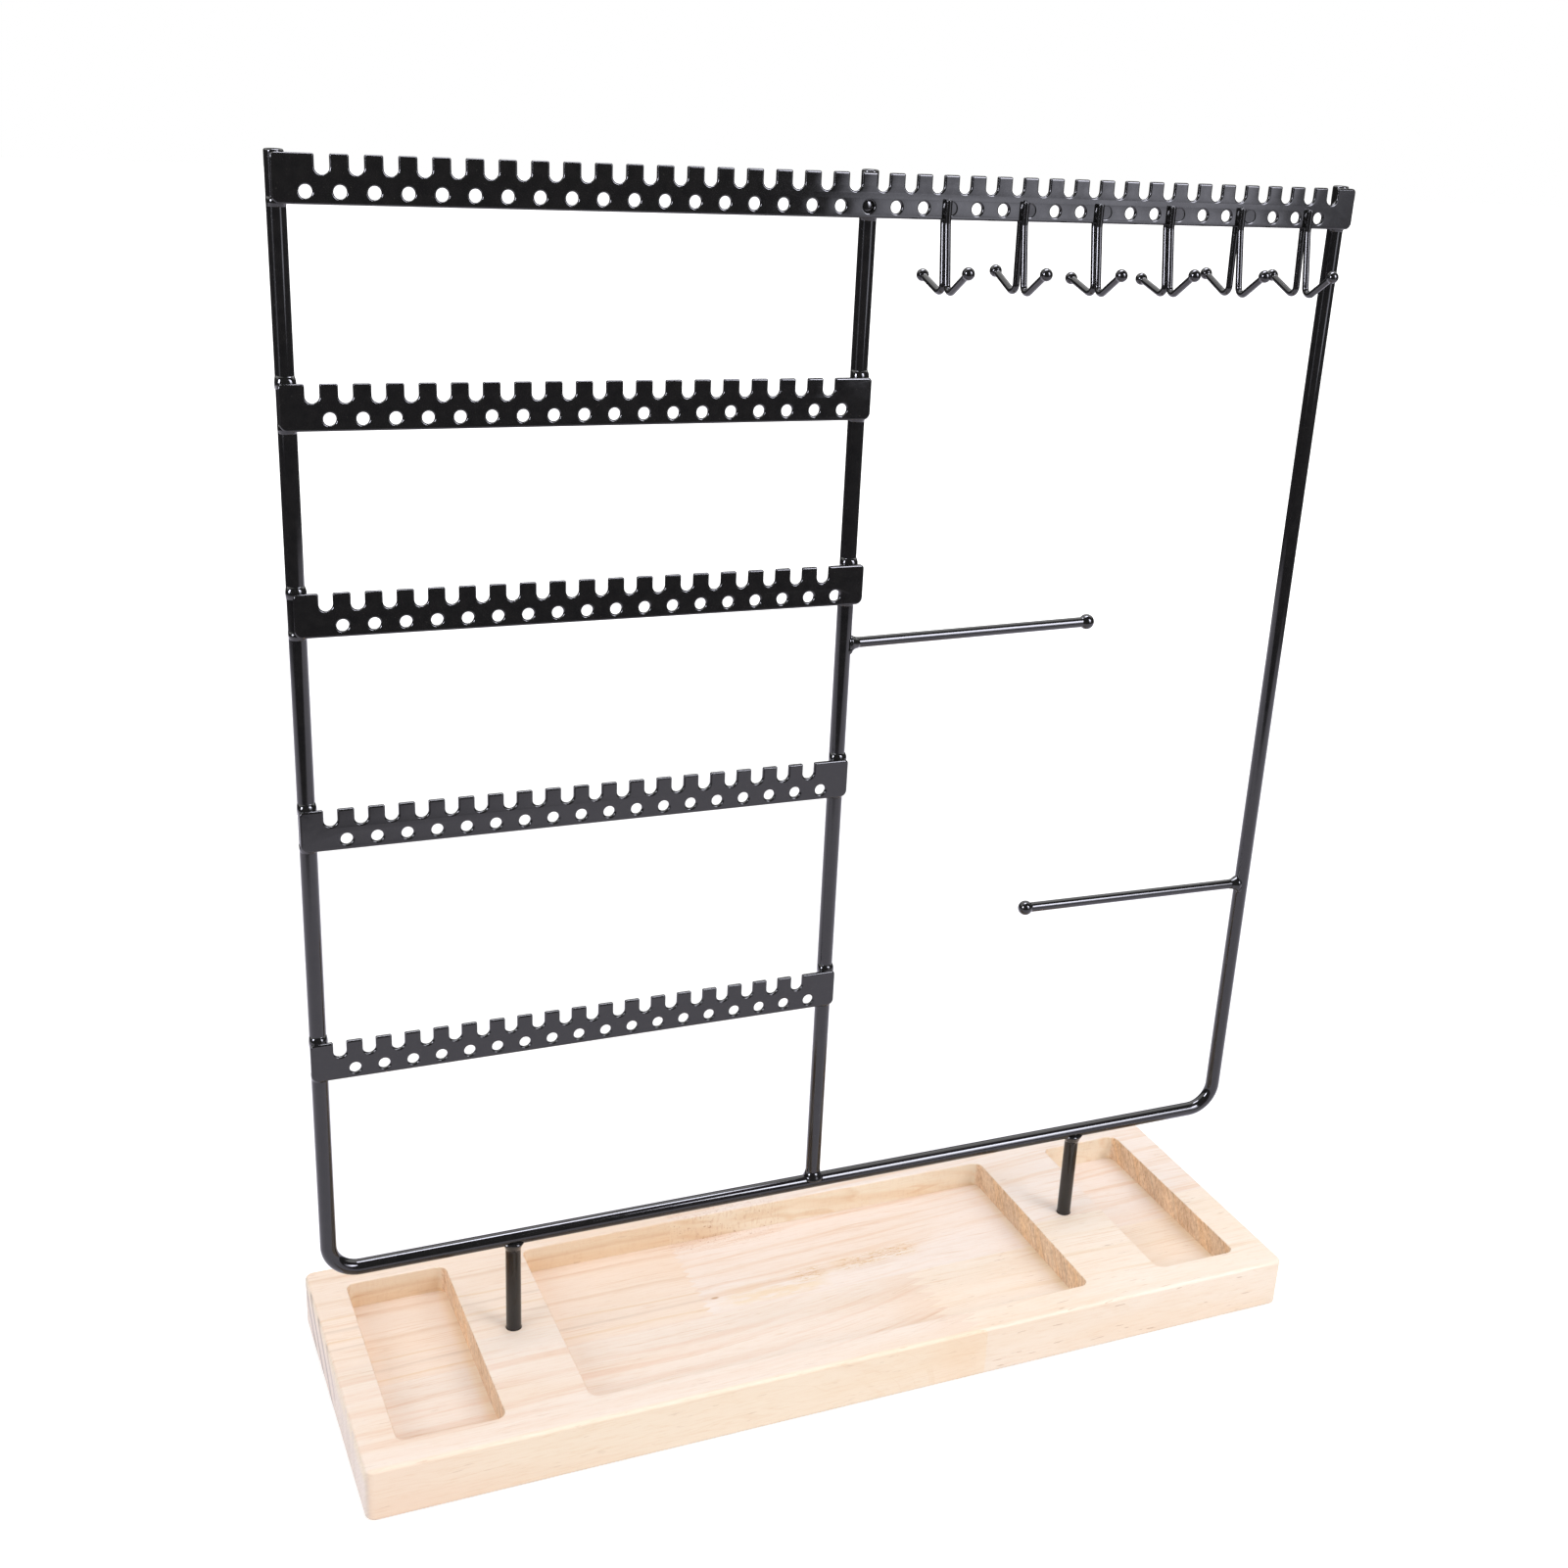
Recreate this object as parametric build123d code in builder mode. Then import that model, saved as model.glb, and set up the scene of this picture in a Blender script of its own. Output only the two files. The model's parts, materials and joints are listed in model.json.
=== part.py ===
from build123d import *
import math
import os

# Sizes are in millimetres. The origin is the centre of the base's underside,
# +X runs along the base to the right, +Y to the back and +Z up.

# Base board
base_length = 343.0
base_width = 111.5
base_height = 19.1
base_corner_radius = 3.2
base_edge_radius = 1.2

# Trays, milled from the top: two small ones at the ends and a long one between.
tray_depth = 10.3
tray_side_wall = 11.75
tray_corner_radius = 3.2
tray_rim_radius = 0.5
left_wall = 12.5
left_tray_width = 35.0
left_land = 28.4
right_wall = 14.3
right_tray_width = 33.8
right_land = 30.0

# Frame of round rod
rod_diameter = 5.2
frame_y = 1.0
upright_spacing = 341.3
bar_gap = 36.3
hoop_bend_radius = 10.0
rod_overrun = 0.6
rod_end_radius = 0.6

# Stamped rails. Heights are those of the hole centres above the bar's axis.
rail_thickness = 1.5
rail_height = 12.9
rail_seat = 0.25
hole_pitch = 9.0
hole_diameter = 3.6
hole_above_edge = 3.3
slot_width = 4.0
slot_depth = 5.3
tooth_radius = 0.5
rail_top_corner = 1.3
rail_bottom_corner = 2.2

top_rail_height = 336.2
top_rail_left_overhang = 1.6
top_rail_right_overhang = 3.45
top_rail_first_hole = 8.75
top_rail_end_margin = 13.5

earring_rail_heights = [276.8, 218.35, 152.8, 75.75]
earring_rail_shifts = [0.2, 1.4, 0.0, -0.3]
earring_rail_overhang = 2.7
earring_rail_first_hole = 13.5
earring_rail_end_margin = 9.5

# Bracelet arms with ball ends
arm_diameter = 3.5
arm_ball_diameter = 5.2
upper_arm_height = 201.2
upper_arm_reach = 90.2
upper_arm_rise = 1.6
lower_arm_height = 95.9
lower_arm_reach = 92.7
lower_arm_rise = 1.7

# Necklace hooks, one wire on each face of the top rail, side by side in pairs.
# The wires are bent by hand, so each leans to the front by an angle of its own.
wire_diameter = 2.15
wire_seat = 0.15
wire_end_radius = 0.5
hook_ball_diameter = 3.9
first_hook = 24.2
hook_pitch = 26.4
hook_side_clearance = 10.0
rear_hook_shift = 0.4
hook_top_above_hole = 2.7
hook_kink_below_rail = 1.0
front_hook_leans = [8.5, 8.5, 8.5, 9.5, 9.5, 9.5]
rear_hook_leans = [7.5, 1.5, 9.5, 9.5, 1.5, 2.5]
hook_drop = 21.2
hook_reach = 13.9
hook_rise = 6.3
hook_kink_radius = 6.0
hook_bend_radius = 2.4

# Post fixings under the base
post_clearance = 0.2
counterbore_diameter = 9.0
counterbore_depth = 4.0
screw_web = 4.1
screw_diameter = 3.0
screw_hole_clearance = 0.2
thread_clearance = 0.05
thread_engagement = 7.4
thread_run_out = 1.6
screw_head_diameter = 5.6
screw_head_height = 2.2
screw_head_radius = 0.8
screw_socket_width = 2.0
screw_socket_depth = 1.2
washer_diameter = 7.0
washer_thickness = 0.5

# Places that follow from the sizes
rod_radius = rod_diameter / 2
wire_radius = wire_diameter / 2
arm_radius = arm_diameter / 2

base_left = -base_length / 2
base_right = base_length / 2
left_tray_x = base_left + left_wall + left_tray_width / 2
right_tray_x = base_right - right_wall - right_tray_width / 2
middle_tray_left = base_left + left_wall + left_tray_width + left_land
middle_tray_right = base_right - right_wall - right_tray_width - right_land
middle_tray_x = (middle_tray_left + middle_tray_right) / 2
middle_tray_width = middle_tray_right - middle_tray_left
tray_run = base_width - 2 * tray_side_wall
post_positions = [
    middle_tray_left - left_land / 2,
    middle_tray_right + right_land / 2,
]
post_end_z = counterbore_depth + screw_web

bar_z = base_height + bar_gap
left_upright_x = -upright_spacing / 2
right_upright_x = upright_spacing / 2
centre_upright_x = 0.0

rail_rear_y = frame_y - rod_radius + rail_seat
rail_front_y = rail_rear_y - rail_thickness
top_rail_z = bar_z + top_rail_height
top_rail_bottom = top_rail_z - hole_above_edge
rod_top = top_rail_bottom + rail_height + rod_overrun
earring_rail_places = [bar_z + height for height in earring_rail_heights]

front_wire_y = rail_front_y - wire_radius + wire_seat
rear_wire_y = rail_rear_y + wire_radius - wire_seat
hook_room = right_upright_x - centre_upright_x - first_hook - hook_side_clearance
hook_count = int(hook_room / hook_pitch) + 1
hook_ball_radius = hook_ball_diameter / 2
hook_ball_seat = math.sqrt(hook_ball_radius**2 - wire_radius**2)
arm_ball_radius = arm_ball_diameter / 2
arm_ball_seat = math.sqrt(arm_ball_radius**2 - arm_radius**2)


def write(piece, name):
    """Label a finished piece and write it to its own file."""
    piece.label = name
    export_step(piece, f"parts/{name}.step")


def cut_rail_seats(x, hole_heights):
    """Flatten the front of an upright where the rails are welded on."""
    depth = rod_diameter
    for hole_z in hole_heights:
        middle_z = hole_z - hole_above_edge + rail_height / 2
        with Locations((x, rail_rear_y - depth / 2, middle_z)):
            Box(2 * rod_diameter, depth, rail_height, mode=Mode.SUBTRACT)


def ball_end(centre, along, radius, neck_radius):
    """A ball on the end of a wire that runs along a direction.

    It is cut flat where the wire's end is welded on.
    """
    seat = math.sqrt(radius**2 - neck_radius**2)
    across = Plane(origin=centre, z_dir=along)
    with BuildPart() as ball:
        with BuildSketch(Plane(origin=centre, x_dir=across.x_dir, z_dir=-across.y_dir)):
            with BuildLine():
                Line((0, -seat), (neck_radius, -seat))
                ThreePointArc((neck_radius, -seat), (radius, 0), (0, radius))
                Line((0, radius), (0, -seat))
            make_face()
        revolve(axis=Axis(centre, along))
    return ball.part


os.makedirs("parts", exist_ok=True)

# The base board, with its trays, the post sockets and the screw holes under them
with BuildPart() as base_board:
    with BuildSketch():
        RectangleRounded(base_length, base_width, base_corner_radius)
    extrude(amount=base_height)
    flat_faces = base_board.faces().filter_by(Plane.XY)
    fillet(flat_faces.edges(), base_edge_radius)
    with BuildSketch(Plane.XY.offset(base_height)):
        with Locations((left_tray_x, 0)):
            RectangleRounded(left_tray_width, tray_run, tray_corner_radius)
        with Locations((middle_tray_x, 0)):
            RectangleRounded(middle_tray_width, tray_run, tray_corner_radius)
        with Locations((right_tray_x, 0)):
            RectangleRounded(right_tray_width, tray_run, tray_corner_radius)
    extrude(amount=-tray_depth, mode=Mode.SUBTRACT)
    top_face = base_board.faces().filter_by(Plane.XY).sort_by(Axis.Z)[-1]
    tray_rims = [edge for wire in top_face.inner_wires() for edge in wire.edges()]
    fillet(tray_rims, tray_rim_radius)
    for post_x in post_positions:
        with Locations(Plane(origin=(post_x, frame_y, base_height))):
            Hole(rod_radius + post_clearance, depth=base_height - post_end_z)
        with Locations(Plane(origin=(post_x, frame_y, 0), z_dir=(0, 0, -1))):
            CounterBoreHole(
                radius=screw_diameter / 2 + screw_hole_clearance,
                counter_bore_radius=counterbore_diameter / 2,
                counter_bore_depth=counterbore_depth,
            )
write(base_board.part, "base_board")

# The hoop: two uprights and the bottom bar, bent from one rod
with BuildPart() as frame_hoop:
    with BuildLine(Plane.XZ.offset(-frame_y)) as hoop_path:
        FilletPolyline(
            (left_upright_x, rod_top),
            (left_upright_x, bar_z),
            (right_upright_x, bar_z),
            (right_upright_x, rod_top),
            radius=hoop_bend_radius,
        )
    with BuildSketch(Plane(origin=hoop_path.line @ 0, z_dir=hoop_path.line % 0)):
        Circle(rod_radius)
    sweep()
    fillet(frame_hoop.edges().group_by(Axis.Z)[-1], rod_end_radius)
    cut_rail_seats(left_upright_x, [top_rail_z] + earring_rail_places)
    cut_rail_seats(right_upright_x, [top_rail_z])
write(frame_hoop.part, "frame_hoop")

# The centre upright, notched over the bottom bar
with BuildPart() as centre_upright:
    with BuildSketch(Plane.XY.offset(bar_z)):
        with Locations((centre_upright_x, frame_y)):
            Circle(rod_radius)
    extrude(amount=rod_top - bar_z)
    fillet(centre_upright.edges().group_by(Axis.Z)[-1], rod_end_radius)
    with Locations(Location((centre_upright_x, frame_y, bar_z), (0, 90, 0))):
        Cylinder(rod_radius, 2 * rod_diameter, mode=Mode.SUBTRACT)
    cut_rail_seats(centre_upright_x, [top_rail_z] + earring_rail_places)
write(centre_upright.part, "centre_upright")

# The posts, notched under the bottom bar and tapped for a screw from below
for side, post_x in zip(("left", "right"), post_positions):
    with BuildPart() as post:
        with BuildSketch(Plane.XY.offset(post_end_z)):
            with Locations((post_x, frame_y)):
                Circle(rod_radius)
        extrude(amount=bar_z - post_end_z)
        with Locations(Location((post_x, frame_y, bar_z), (0, 90, 0))):
            Cylinder(rod_radius, 2 * rod_diameter, mode=Mode.SUBTRACT)
        with Locations(Plane(origin=(post_x, frame_y, post_end_z), z_dir=(0, 0, -1))):
            Hole(screw_diameter / 2, depth=thread_engagement + thread_run_out)
    write(post.part, f"{side}_post")


def stamped_rail(left, length, hole_z, first_hole, end_margin, slot_side):
    """A strip with a row of holes and, half a pitch to one side of each, a slot."""
    bottom = hole_z - hole_above_edge
    top = bottom + rail_height
    right = left + length
    count = int((length - first_hole - end_margin) / hole_pitch) + 1
    hole_places = [left + first_hole + hole_pitch * i for i in range(count)]
    slot_places = [x + slot_side * hole_pitch / 2 for x in hole_places]
    slot_bottom = top - slot_depth + slot_width / 2
    with BuildPart() as rail:
        with BuildSketch(Plane.XZ.offset(-rail_rear_y)):
            with Locations(((left + right) / 2, (bottom + top) / 2)):
                Rectangle(length, rail_height)
            fillet(vertices().group_by(Axis.Y)[-1], rail_top_corner)
            fillet(vertices().group_by(Axis.Y)[0], rail_bottom_corner)
            with Locations(*[(x, (slot_bottom + top) / 2) for x in slot_places]):
                Rectangle(slot_width, top - slot_bottom, mode=Mode.SUBTRACT)
            tooth_corners = vertices().filter_by_position(
                Axis.X,
                slot_places[0] - slot_width,
                slot_places[-1] + slot_width,
            )
            fillet(tooth_corners.group_by(Axis.Y)[-1], tooth_radius)
            with Locations(*[(x, slot_bottom) for x in slot_places]):
                Circle(slot_width / 2, mode=Mode.SUBTRACT)
            with Locations(*[(x, hole_z) for x in hole_places]):
                Circle(hole_diameter / 2, mode=Mode.SUBTRACT)
        extrude(amount=rail_thickness)
    return rail.part


# The top rail runs from upright to upright, with its long end on the right.
top_rail_length = upright_spacing + top_rail_left_overhang + top_rail_right_overhang
top_rail = stamped_rail(
    left_upright_x - top_rail_left_overhang,
    top_rail_length,
    top_rail_z,
    top_rail_first_hole,
    top_rail_end_margin,
    1,
)
write(top_rail, "top_rail")

# The four earring rails bridge the left bay, with their long end on the left.
earring_rail_length = centre_upright_x - left_upright_x + 2 * earring_rail_overhang
for row, hole_z in enumerate(earring_rail_places):
    earring_rail = stamped_rail(
        left_upright_x - earring_rail_overhang + earring_rail_shifts[row],
        earring_rail_length,
        hole_z,
        earring_rail_first_hole,
        earring_rail_end_margin,
        -1,
    )
    write(earring_rail, f"earring_rail_{row + 1}")


def bracelet_arm(root, ball_centre):
    """A round arm, notched against its upright and cut flat under its ball."""
    along = ball_centre - root
    with BuildPart() as arm:
        with BuildSketch(Plane(origin=root, z_dir=along)):
            Circle(arm_radius)
        extrude(amount=along.length - arm_ball_seat)
        with Locations(root):
            Cylinder(rod_radius, 3 * arm_diameter, mode=Mode.SUBTRACT)
    return arm.part


arm_ends = {
    "upper": (
        Vector(centre_upright_x, frame_y, bar_z + upper_arm_height),
        Vector(upper_arm_reach, 0, upper_arm_rise),
    ),
    "lower": (
        Vector(right_upright_x, frame_y, bar_z + lower_arm_height),
        Vector(-lower_arm_reach, 0, lower_arm_rise),
    ),
}
for side, (arm_root, arm_run) in arm_ends.items():
    arm_tip = arm_root + arm_run
    write(bracelet_arm(arm_root, arm_tip), f"{side}_arm")
    arm_ball = ball_end(arm_tip, arm_run, arm_ball_radius, arm_radius)
    write(arm_ball, f"{side}_arm_ball")


def hook_outline(wire_y, facing, lean_angle):
    """Corners of a hook's centre line as (Y, Z), from its top to its ball.

    The leg hangs straight down the face of the rail. Under the rail it leans
    to the front, and the wire turns out and up to its ball.
    """
    lean = math.radians(lean_angle)
    down = Vector(-math.sin(lean), -math.cos(lean))
    out = Vector(-math.cos(lean), math.sin(lean)) * facing
    top = Vector(wire_y, top_rail_z + hook_top_above_hole)
    kink = Vector(wire_y, top_rail_bottom - hook_kink_below_rail)
    heel = kink + down * hook_drop
    tip = kink + down * (hook_drop - hook_rise) + out * hook_reach
    return top, kink, heel, tip


def hook_wire(x, outline, rail_side_y, facing):
    """A bent wire, cut flat where it is welded to the face of the rail."""
    top, kink, heel, tip = outline
    end = tip - (tip - heel).normalized() * hook_ball_seat
    depth = wire_diameter
    seat_height = top.Y - top_rail_bottom
    with BuildPart() as wire:
        with BuildLine(Plane.YZ.offset(x)) as wire_path:
            FilletPolyline(
                *[(point.X, point.Y) for point in (top, kink, heel, end)],
                radius=(hook_kink_radius, hook_bend_radius),
            )
        with BuildSketch(Plane(origin=wire_path.line @ 0, z_dir=wire_path.line % 0)):
            Circle(wire_radius)
        sweep()
        fillet(wire.edges().group_by(Axis.Z)[-1], wire_end_radius)
        with Locations((x, rail_side_y + facing * depth / 2, top.Y - seat_height / 2)):
            Box(2 * wire_diameter, depth, seat_height, mode=Mode.SUBTRACT)
    return wire.part


# The hooks: front wires lean out to the front, rear wires stand behind the rail.
hook_sides = {
    "front": (front_wire_y, rail_front_y, 1, 0.0, front_hook_leans),
    "rear": (rear_wire_y, rail_rear_y, -1, rear_hook_shift, rear_hook_leans),
}
for number in range(hook_count):
    for side, (wire_y, rail_side_y, facing, shift, leans) in hook_sides.items():
        hook_x = centre_upright_x + first_hook + hook_pitch * number + shift
        lean_angle = leans[number % len(leans)]
        outline = hook_outline(wire_y, facing, lean_angle)
        heel, tip = outline[2:]
        hook = hook_wire(hook_x, outline, rail_side_y, facing)
        write(hook, f"{side}_hook_{number + 1}")
        hook_ball = ball_end(
            Vector(hook_x, tip.X, tip.Y),
            Vector(0, tip.X - heel.X, tip.Y - heel.Y),
            hook_ball_radius,
            wire_radius,
        )
        write(hook_ball, f"{side}_hook_{number + 1}_ball")

# The post screws and their washers, in the counterbores under the base
washer_z = counterbore_depth - washer_thickness
screw_radius = screw_diameter / 2 - thread_clearance
with BuildPart() as post_screws:
    for post_x in post_positions:
        with BuildSketch(Plane.XY.offset(washer_z)):
            with Locations((post_x, frame_y)):
                Circle(screw_head_diameter / 2)
        extrude(amount=-screw_head_height)
    fillet(post_screws.edges().group_by(Axis.Z)[0], screw_head_radius)
    for post_x in post_positions:
        with BuildSketch(Plane.XY.offset(washer_z)):
            with Locations((post_x, frame_y)):
                Circle(screw_radius)
        extrude(amount=post_end_z + thread_engagement - washer_z)
        with BuildSketch(Plane.XY.offset(washer_z - screw_head_height)):
            with Locations((post_x, frame_y)):
                RegularPolygon(screw_socket_width / 2, 6, major_radius=False)
        extrude(amount=screw_socket_depth, mode=Mode.SUBTRACT)
write(post_screws.part, "post_screws")

with BuildPart() as post_washers:
    for post_x in post_positions:
        with BuildSketch(Plane.XY.offset(washer_z)):
            with Locations((post_x, frame_y)):
                Circle(washer_diameter / 2)
                Circle(screw_diameter / 2 + screw_hole_clearance, mode=Mode.SUBTRACT)
        extrude(amount=washer_thickness)
write(post_washers.part, "post_washers")
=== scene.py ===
import json
import math

import bmesh
import bpy
from mathutils import Matrix, Vector

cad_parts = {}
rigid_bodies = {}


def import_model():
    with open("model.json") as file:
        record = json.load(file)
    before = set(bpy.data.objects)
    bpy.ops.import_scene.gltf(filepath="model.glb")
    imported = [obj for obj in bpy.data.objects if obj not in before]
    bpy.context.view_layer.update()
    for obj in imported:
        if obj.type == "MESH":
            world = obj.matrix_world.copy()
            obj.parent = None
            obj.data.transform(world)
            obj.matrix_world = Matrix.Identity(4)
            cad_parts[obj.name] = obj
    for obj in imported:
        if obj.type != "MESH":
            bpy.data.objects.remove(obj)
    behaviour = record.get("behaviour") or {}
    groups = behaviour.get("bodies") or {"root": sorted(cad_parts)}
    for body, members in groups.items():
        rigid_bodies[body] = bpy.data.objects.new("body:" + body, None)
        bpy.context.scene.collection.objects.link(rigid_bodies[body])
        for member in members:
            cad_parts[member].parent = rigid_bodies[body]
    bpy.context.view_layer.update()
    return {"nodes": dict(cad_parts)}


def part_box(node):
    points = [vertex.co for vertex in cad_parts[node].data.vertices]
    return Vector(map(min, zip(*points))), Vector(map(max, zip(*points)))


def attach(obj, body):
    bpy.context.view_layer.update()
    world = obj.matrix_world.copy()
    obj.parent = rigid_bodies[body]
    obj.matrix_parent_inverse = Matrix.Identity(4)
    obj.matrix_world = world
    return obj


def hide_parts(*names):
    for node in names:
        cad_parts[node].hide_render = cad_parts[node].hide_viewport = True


# The scene starts empty, without the default objects.
for leftover in list(bpy.data.objects):
    bpy.data.objects.remove(leftover)

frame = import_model()

mm = 0.001
X = Vector((1, 0, 0))
Y = Vector((0, 1, 0))
Z = Vector((0, 0, 1))

# Sizes of the stand, as the CAD has them
rod_radius = 2.6 * mm
wire_radius = 1.075 * mm
hook_ball_radius = 1.95 * mm
bend_radius = 10.0 * mm
hook_bend_radius = 2.4 * mm
hook_kink_radius = 6.0 * mm
rod_end_radius = 0.6 * mm
wire_end_radius = 0.5 * mm
frame_y = 1.0 * mm
bar_z = 55.4 * mm
rod_top = 401.8 * mm
upright_x = 170.65 * mm

arm_radius = 1.75 * mm
arm_ball_radius = 2.6 * mm
arm_root_x = {"upper_arm": 0.0, "lower_arm": upright_x}
arm_rise = {"upper_arm": 1.6 * mm, "lower_arm": 1.7 * mm}

hole_pitch = 9.0 * mm
top_first_hole = 8.75 * mm
top_last_hole = 13.5 * mm
row_first_hole = 13.5 * mm
row_last_hole = 9.5 * mm
hole_radius = 1.8 * mm
hole_above_edge = 3.3 * mm
slot_radius = 2.0 * mm
slot_depth = 5.3 * mm
tooth_radius = 0.5 * mm
rail_top_corner = 1.3 * mm
rail_bottom_corner = 2.2 * mm
row_count = 4

hook_count = 6
first_hook_x = 24.2 * mm
hook_pitch = 26.4 * mm
rear_hook_shift = 0.4 * mm
front_hook_leans = [8.5, 8.5, 8.5, 9.5, 9.5, 9.5]
rear_hook_leans = [7.5, 1.5, 9.5, 9.5, 1.5, 2.5]
hook_top_above_hole = 2.7 * mm
hook_kink_below_rail = 1.0 * mm
hook_drop = 21.2 * mm
hook_reach = 13.9 * mm
hook_rise = 6.3 * mm
wire_seat = 0.15 * mm

# Under its coating a rail's edges are sharp, as in the CAD, and the coating rounds them.
rail_edge_radius = 0.52 * mm

# Holes of the top rail that weld metal fills, counted from 0 at the left
filled_holes = (21, 24, 27, 30, 33)


# Materials

class Recipe:
    """Shader nodes for a finish, a card or the room, written as short sums.

    A surface is measured in millimetres, and the room by its direction.
    """

    def __init__(self, owner, output="ShaderNodeOutputMaterial", where="Object", unit=1000.0):
        owner.use_nodes = True
        self.owner = owner
        self.nodes = owner.node_tree.nodes
        self.links = owner.node_tree.links
        self.nodes.clear()
        self.surface = self.nodes.new(output).inputs["Surface"]
        spot = self.nodes.new("ShaderNodeTexCoord")
        self.facing = spot.outputs["Normal"]
        scale = self.nodes.new("ShaderNodeVectorMath")
        scale.operation = "SCALE"
        scale.inputs["Scale"].default_value = unit
        self.links.new(spot.outputs[where], scale.inputs[0])
        self.place = scale.outputs["Vector"]
        self.x, self.y, self.z = self.split(self.place)

    def put(self, socket, value):
        """Links a result to a socket, or writes a number or a colour there."""
        if isinstance(value, bpy.types.NodeSocket):
            self.links.new(value, socket)
        elif isinstance(value, tuple):
            socket.default_value = (*value, 1.0)
        else:
            socket.default_value = value

    def split(self, vector):
        node = self.nodes.new("ShaderNodeSeparateXYZ")
        self.links.new(vector, node.inputs["Vector"])
        return node.outputs[0], node.outputs[1], node.outputs[2]

    def join(self, x, y, z):
        node = self.nodes.new("ShaderNodeCombineXYZ")
        for socket, value in zip(node.inputs, (x, y, z)):
            self.put(socket, value)
        return node.outputs["Vector"]

    def sum(self, operation, *values):
        node = self.nodes.new("ShaderNodeMath")
        node.operation = operation
        for socket, value in zip(node.inputs, values):
            self.put(socket, value)
        return node.outputs["Value"]

    def times(self, product, *values):
        for value in values:
            product = self.sum("MULTIPLY", product, value)
        return product

    def outside(self, mask):
        """1 where a mask is 0, and 0 where it is 1."""
        return self.sum("SUBTRACT", 1.0, mask)

    def gap(self, value, spot):
        """How far a value is from a spot, to either side."""
        return self.sum("ABSOLUTE", self.sum("SUBTRACT", value, spot))

    def distance(self, across, along):
        """How far a place is from a middle, from its two offsets."""
        squares = self.sum("ADD", self.times(across, across), self.times(along, along))
        return self.sum("SQRT", squares)

    def rise(self, value, low, high):
        """A soft step from 0 to 1 between two values."""
        node = self.nodes.new("ShaderNodeMapRange")
        node.interpolation_type = "SMOOTHSTEP"
        self.put(node.inputs["Value"], value)
        node.inputs["From Min"].default_value = low
        node.inputs["From Max"].default_value = high
        return node.outputs["Result"]

    def between(self, value, low, high, soft):
        """A soft window: 1 between two values and 0 outside them."""
        up = self.rise(value, low - soft, low + soft)
        down = self.rise(value, high + soft, high - soft)
        return self.times(up, down)

    def noise(self, scales, detail=2.0, roughness=0.5, at=None):
        """Smooth noise, with a number of cycles per millimetre for each axis."""
        stretch = self.nodes.new("ShaderNodeVectorMath")
        stretch.operation = "MULTIPLY"
        self.links.new(at or self.place, stretch.inputs[0])
        stretch.inputs[1].default_value = scales
        node = self.nodes.new("ShaderNodeTexNoise")
        node.inputs["Scale"].default_value = 1.0
        node.inputs["Detail"].default_value = detail
        node.inputs["Roughness"].default_value = roughness
        self.links.new(stretch.outputs["Vector"], node.inputs["Vector"])
        return node.outputs["Fac"]

    def noise_at(self, spot, detail, roughness):
        """Smooth noise at a spot, which three sums give in cycles."""
        return self.noise((1.0, 1.0, 1.0), detail, roughness, self.join(*spot))

    def ramp(self, value, stops):
        """A colour for each value, from a list of (place, colour)."""
        node = self.nodes.new("ShaderNodeValToRGB")
        elements = node.color_ramp.elements
        while len(elements) < len(stops):
            elements.new(1.0)
        for element, (place, colour) in zip(elements, stops):
            element.position = place
            element.color = (*colour, 1.0)
        self.put(node.inputs["Fac"], value)
        return node.outputs["Color"]

    def mix(self, amount, first, second, kind="MIX"):
        node = self.nodes.new("ShaderNodeMix")
        node.data_type = "RGBA"
        node.blend_type = kind
        for number, value in ((0, amount), (6, first), (7, second)):
            self.put(node.inputs[number], value)
        return node.outputs[2]

    def tinted(self, colour, tint, amount=1.0):
        """A colour that takes on a tint, as from a stain, by an amount."""
        return self.mix(amount, colour, tint, "MULTIPLY")

    def light(self, kind, colour, strength):
        """Light of a colour and a strength; the kind is Emission or Background."""
        node = self.nodes.new("ShaderNode" + kind)
        self.put(node.inputs["Color"], colour)
        self.put(node.inputs["Strength"], strength)
        return node.outputs[0]

    def blend(self, amount, first, second):
        """Goes from one shader to another by an amount."""
        node = self.nodes.new("ShaderNodeMixShader")
        for socket, value in zip(node.inputs, (amount, first, second)):
            self.put(socket, value)
        return node.outputs["Shader"]

    def rays(self):
        """1 for what the camera sees, also through something clear; 1 for reflections."""
        ray = self.nodes.new("ShaderNodeLightPath")
        seen = self.sum("MAXIMUM", ray.outputs["Is Camera Ray"], ray.outputs["Is Transmission Ray"])
        return seen, ray.outputs["Is Glossy Ray"]


class Finish(Recipe):
    """The material of a piece: its colour, its gloss and its relief."""

    def __init__(self, name):
        super().__init__(bpy.data.materials.new(name))
        self.shader = self.nodes.new("ShaderNodeBsdfPrincipled")
        self.put(self.surface, self.shader.outputs["BSDF"])

    def look(self, colour, roughness, ior=1.5, metallic=0.0):
        """Sets the colour and the gloss; metallic is 1 for a bare metal."""
        self.put(self.shader.inputs["Base Color"], colour)
        self.put(self.shader.inputs["Roughness"], roughness)
        self.put(self.shader.inputs["IOR"], ior)
        self.put(self.shader.inputs["Metallic"], metallic)

    def relief(self, height, depth):
        """Raises and lowers the surface by a height, with a depth in millimetres."""
        node = self.nodes.new("ShaderNodeBump")
        node.inputs["Strength"].default_value = 1.0
        node.inputs["Distance"].default_value = depth * mm
        self.put(node.inputs["Height"], height)
        self.put(self.shader.inputs["Normal"], node.outputs["Normal"])


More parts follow.
